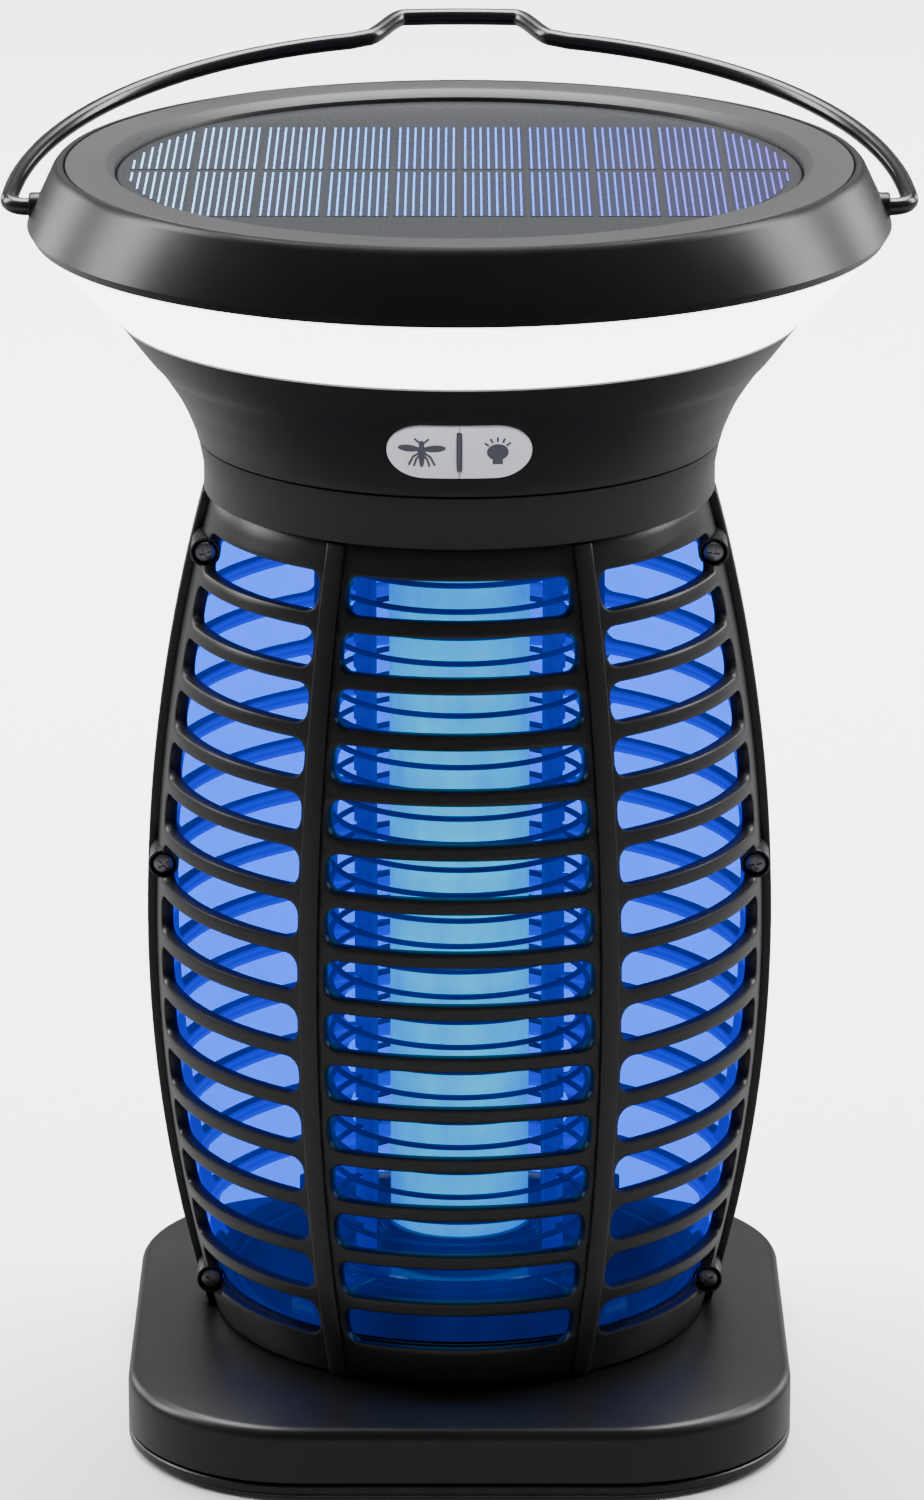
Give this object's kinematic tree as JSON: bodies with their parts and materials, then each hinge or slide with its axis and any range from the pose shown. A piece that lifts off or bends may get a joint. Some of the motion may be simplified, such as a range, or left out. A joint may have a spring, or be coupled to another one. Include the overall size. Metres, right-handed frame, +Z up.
{
  "type": "bug zapper lantern",
  "caption": "Solar rechargeable insect zapper lantern with a slotted barrel cage, glowing grid, white lamp ring, solar cap, swinging bail and twist-off square base.",
  "frame": {"origin": "on the lantern's turning axis, at the bottom plate's flat underside, 0.8 mm above what the feet stand on", "axes": "+Z up along the turning axis, -Y out of the front where the buttons are, +X to the right seen from the front"},
  "size_m": [0.1802, 0.1835, 0.2662],
  "materials": {
    "black_cap": "semi gloss",
    "black_inner": "gloss",
    "black_shell": "satin, fine texture",
    "capacitor_film": "dipped",
    "cell_wrap": "shrink wrap",
    "chip_black": "moulded",
    "clear_comb": "clear, tinted by the lamp",
    "coated_wire": "gloss coating",
    "green_board": "green solder mask",
    "grey_keys": "satin",
    "grid_wire": "drawn wire",
    "lamp_cyan": "translucent, lit",
    "led_board": "white solder mask",
    "port_metal": "plated",
    "screw_steel": "black oxide",
    "soft_rubber": "matt",
    "solar_cells": "resin coated cells",
    "transformer_tape": "tape",
    "white_diffuser": "translucent, lit",
    "white_reflector": "matt white"
  },
  "bodies": {
    "lantern": {"cage_front": "black_shell", "cage_back": "black_shell", "cage_screw_1": "screw_steel", "cage_screw_2": "screw_steel", "cage_screw_3": "screw_steel", "cage_screw_4": "screw_steel", "cage_screw_5": "screw_steel", "cage_screw_6": "screw_steel", "hv_grid_a": "grid_wire", "hv_grid_b": "grid_wire", "grid_comb_1": "clear_comb", "grid_comb_2": "clear_comb", "grid_comb_3": "clear_comb", "grid_comb_4": "clear_comb", "lower_grid_holder": "black_inner", "upper_grid_holder": "black_inner", "lamp_tube": "lamp_cyan", "lamp_socket": "black_inner", "lamp_top_socket": "black_inner", "uv_led_board": "led_board", "collar": "black_shell", "neck_housing": "black_shell", "neck_floor": "black_inner", "reflector_ring": "white_reflector", "button_divider": "black_inner", "mosquito_switch": "chip_black", "lamp_switch": "chip_black", "switch_board": "green_board", "charging_port": "port_metal", "diffuser_ring": "white_diffuser", "white_led_board": "led_board", "top_cap": "black_cap", "panel_frame": "black_cap", "solar_panel": "solar_cells", "cap_floor": "black_inner", "battery_cell_1": "cell_wrap", "battery_cell_2": "cell_wrap", "battery_holder": "black_inner", "main_board": "green_board", "hv_transformer": "transformer_tape", "hv_capacitor": "capacitor_film", "control_chip": "chip_black"},
    "base": {"base_shell": "black_shell", "bottom_plate": "black_shell", "rubber_foot_1": "soft_rubber", "rubber_foot_2": "soft_rubber", "rubber_foot_3": "soft_rubber", "rubber_foot_4": "soft_rubber", "base_screw_1": "screw_steel", "base_screw_2": "screw_steel", "base_screw_3": "screw_steel", "base_screw_4": "screw_steel"},
    "bail": {"bail_handle": "coated_wire"},
    "mosquito_key": {"mosquito_button": "grey_keys"},
    "lamp_key": {"lamp_button": "grey_keys"},
    "port_flap": {"port_cover": "soft_rubber"}
  },
  "joints": [
    {"name": "tray_twist", "type": "hinge", "parent": "lantern", "child": "base", "pos_m": [0, 0, 0.02], "axis": [0, 0, 1], "range_deg": [0, 25]},
    {"name": "bail_swing", "type": "hinge", "parent": "lantern", "child": "bail", "pos_m": [0, 0, 0.2456], "axis": [1, 0, 0], "range_deg": [-61, 219]},
    {"name": "mosquito_press", "type": "slide", "parent": "lantern", "child": "mosquito_key", "axis": [0, 0.8509, 0.5253], "range_m": [0, 0.0008], "stiffness_N_per_m": 1500},
    {"name": "lamp_press", "type": "slide", "parent": "lantern", "child": "lamp_key", "axis": [0, 0.8509, 0.5253], "range_m": [0, 0.0008], "stiffness_N_per_m": 1500},
    {"name": "cover_open", "type": "hinge", "parent": "lantern", "child": "port_flap", "pos_m": [0, 0.05999, 0.21415], "axis": [1, 0, 0], "range_deg": [0, 95]}
  ]
}
